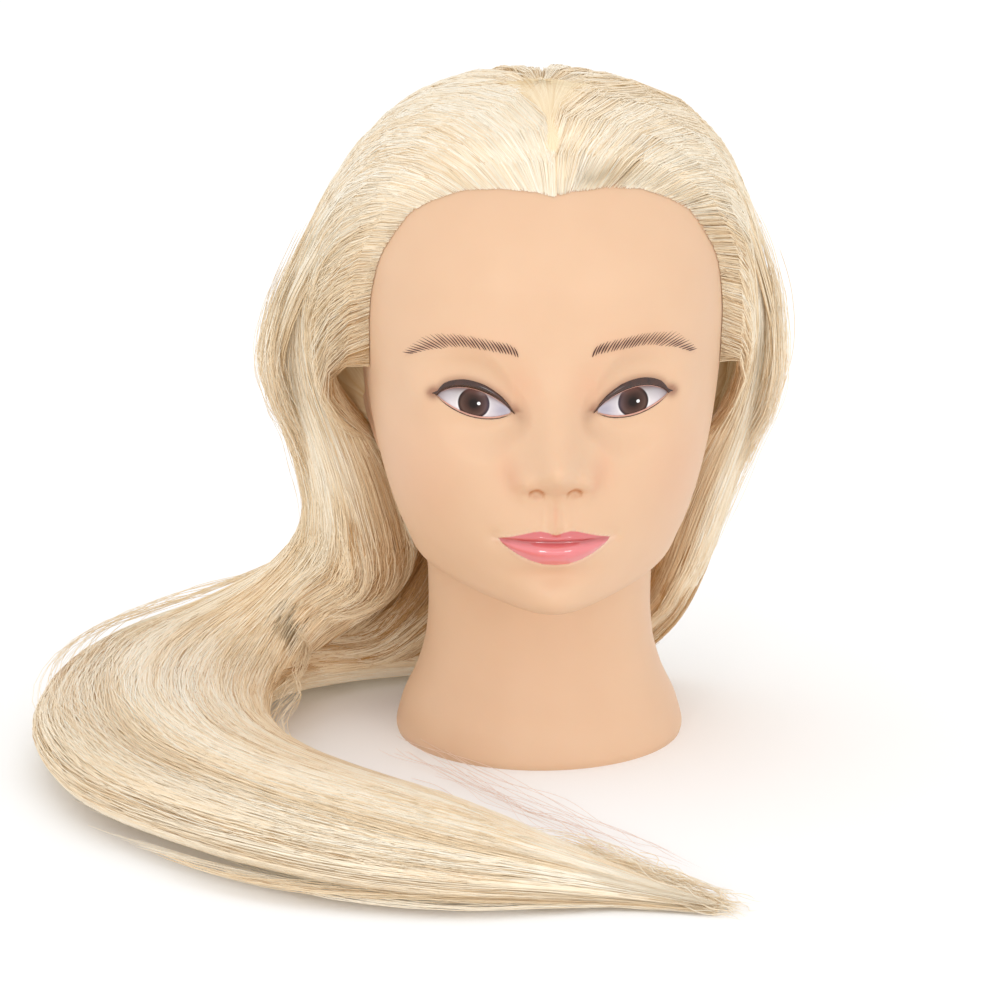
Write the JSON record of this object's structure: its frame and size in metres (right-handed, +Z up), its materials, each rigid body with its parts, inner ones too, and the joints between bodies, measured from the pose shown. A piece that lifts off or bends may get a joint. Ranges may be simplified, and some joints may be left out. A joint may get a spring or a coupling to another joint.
{
  "type": "mannequin training head",
  "caption": "Soft moulded practice head with painted face, rooted blonde hair laid in a long sweep beside it, and a tapered clamp socket in its flared foot.",
  "frame": {"origin": "centre of the whole object's bounding box, hair included, on the table plane; the foot's own axis stands at x 0.0551, y 0.0568", "axes": "+Z up along the neck, -Y the way the face looks, +X to the viewer's right of the face; the swept hair lies towards -X and -Y"},
  "size_m": [0.3038, 0.3266, 0.275],
  "materials": {
    "skin_pvc": "soft satin vinyl, painted face",
    "core_foam": "cut foam",
    "eye_gloss": "high gloss",
    "hair_blonde": "smooth long fibres, soft sheen",
    "base_plastic": "fine grained",
    "screw_steel": "plain"
  },
  "bodies": {
    "root": {"base_plate": "base_plastic", "base_screw_1": "screw_steel", "base_screw_2": "screw_steel", "base_screw_3": "screw_steel", "base_screw_4": "screw_steel", "clamp_socket": "base_plastic", "eye_left": "eye_gloss", "eye_right": "eye_gloss", "hair_back_left": "hair_blonde", "hair_back_right": "hair_blonde", "hair_fall_back_lower": "hair_blonde", "hair_fall_back_upper": "hair_blonde", "hair_fall_left_lower": "hair_blonde", "hair_fall_left_upper": "hair_blonde", "hair_fall_right_lower": "hair_blonde", "hair_fall_right_upper": "hair_blonde", "hair_side_left": "hair_blonde", "hair_side_right": "hair_blonde", "hair_sweep_back": "hair_blonde", "hair_sweep_bend_front": "hair_blonde", "hair_sweep_bend_rear": "hair_blonde", "hair_sweep_front": "hair_blonde", "hair_tail": "hair_blonde", "hair_tail_tip": "hair_blonde", "hair_temple_left": "hair_blonde", "hair_temple_right": "hair_blonde", "hair_top_left": "hair_blonde", "hair_top_right": "hair_blonde", "hair_wisp_left": "hair_blonde", "hair_wisp_right": "hair_blonde", "head_skin": "skin_pvc", "skull_core": "core_foam"}
  },
  "joints": []
}
